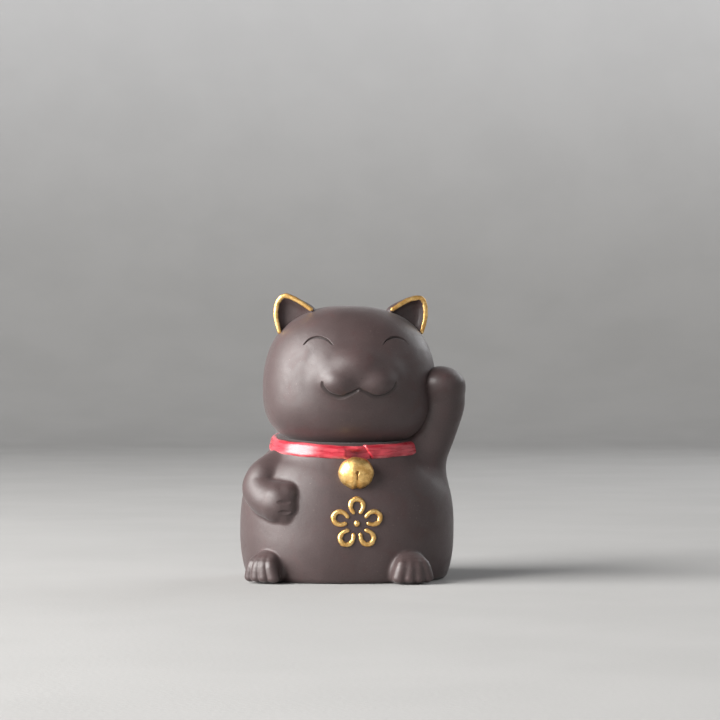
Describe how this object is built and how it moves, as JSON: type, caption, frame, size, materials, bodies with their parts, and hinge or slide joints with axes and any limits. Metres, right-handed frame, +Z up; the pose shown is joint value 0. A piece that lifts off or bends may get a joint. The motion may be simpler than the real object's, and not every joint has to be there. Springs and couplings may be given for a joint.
{
  "type": "beckoning cat figurine",
  "caption": "Seated beckoning cat figurine in unglazed clay, left paw raised beside the head, red neck strap with a gold bell, gold blossom on the belly.",
  "frame": {"origin": "middle of the figure's bounding box, on the surface it stands on", "axes": "+Z up, the cat faces -Y, the raised paw is on +X, which is the cat's own left"},
  "size_m": [0.0557, 0.0504, 0.0718],
  "materials": {
    "clay": "unglazed purple-brown clay, satin from handling",
    "gold_paint": "hand-brushed gold paint over raised clay",
    "red_paint": "hand-brushed red gloss paint over raised clay"
  },
  "bodies": {
    "root": {"body_shell": "clay", "base_slab": "clay", "head_shell": "clay", "ear_left": "clay", "ear_right": "clay", "raised_arm": "clay", "resting_arm": "clay", "foot_left": "clay", "foot_right": "clay", "tail": "clay", "ear_rim_left": "gold_paint", "ear_rim_right": "gold_paint", "bell": "gold_paint", "emblem_petal_1": "gold_paint", "emblem_petal_2": "gold_paint", "emblem_petal_3": "gold_paint", "emblem_petal_4": "gold_paint", "emblem_petal_5": "gold_paint", "emblem_middle": "gold_paint", "collar_long_strap": "red_paint", "collar_short_strap": "red_paint", "bell_loop": "red_paint"}
  },
  "joints": []
}
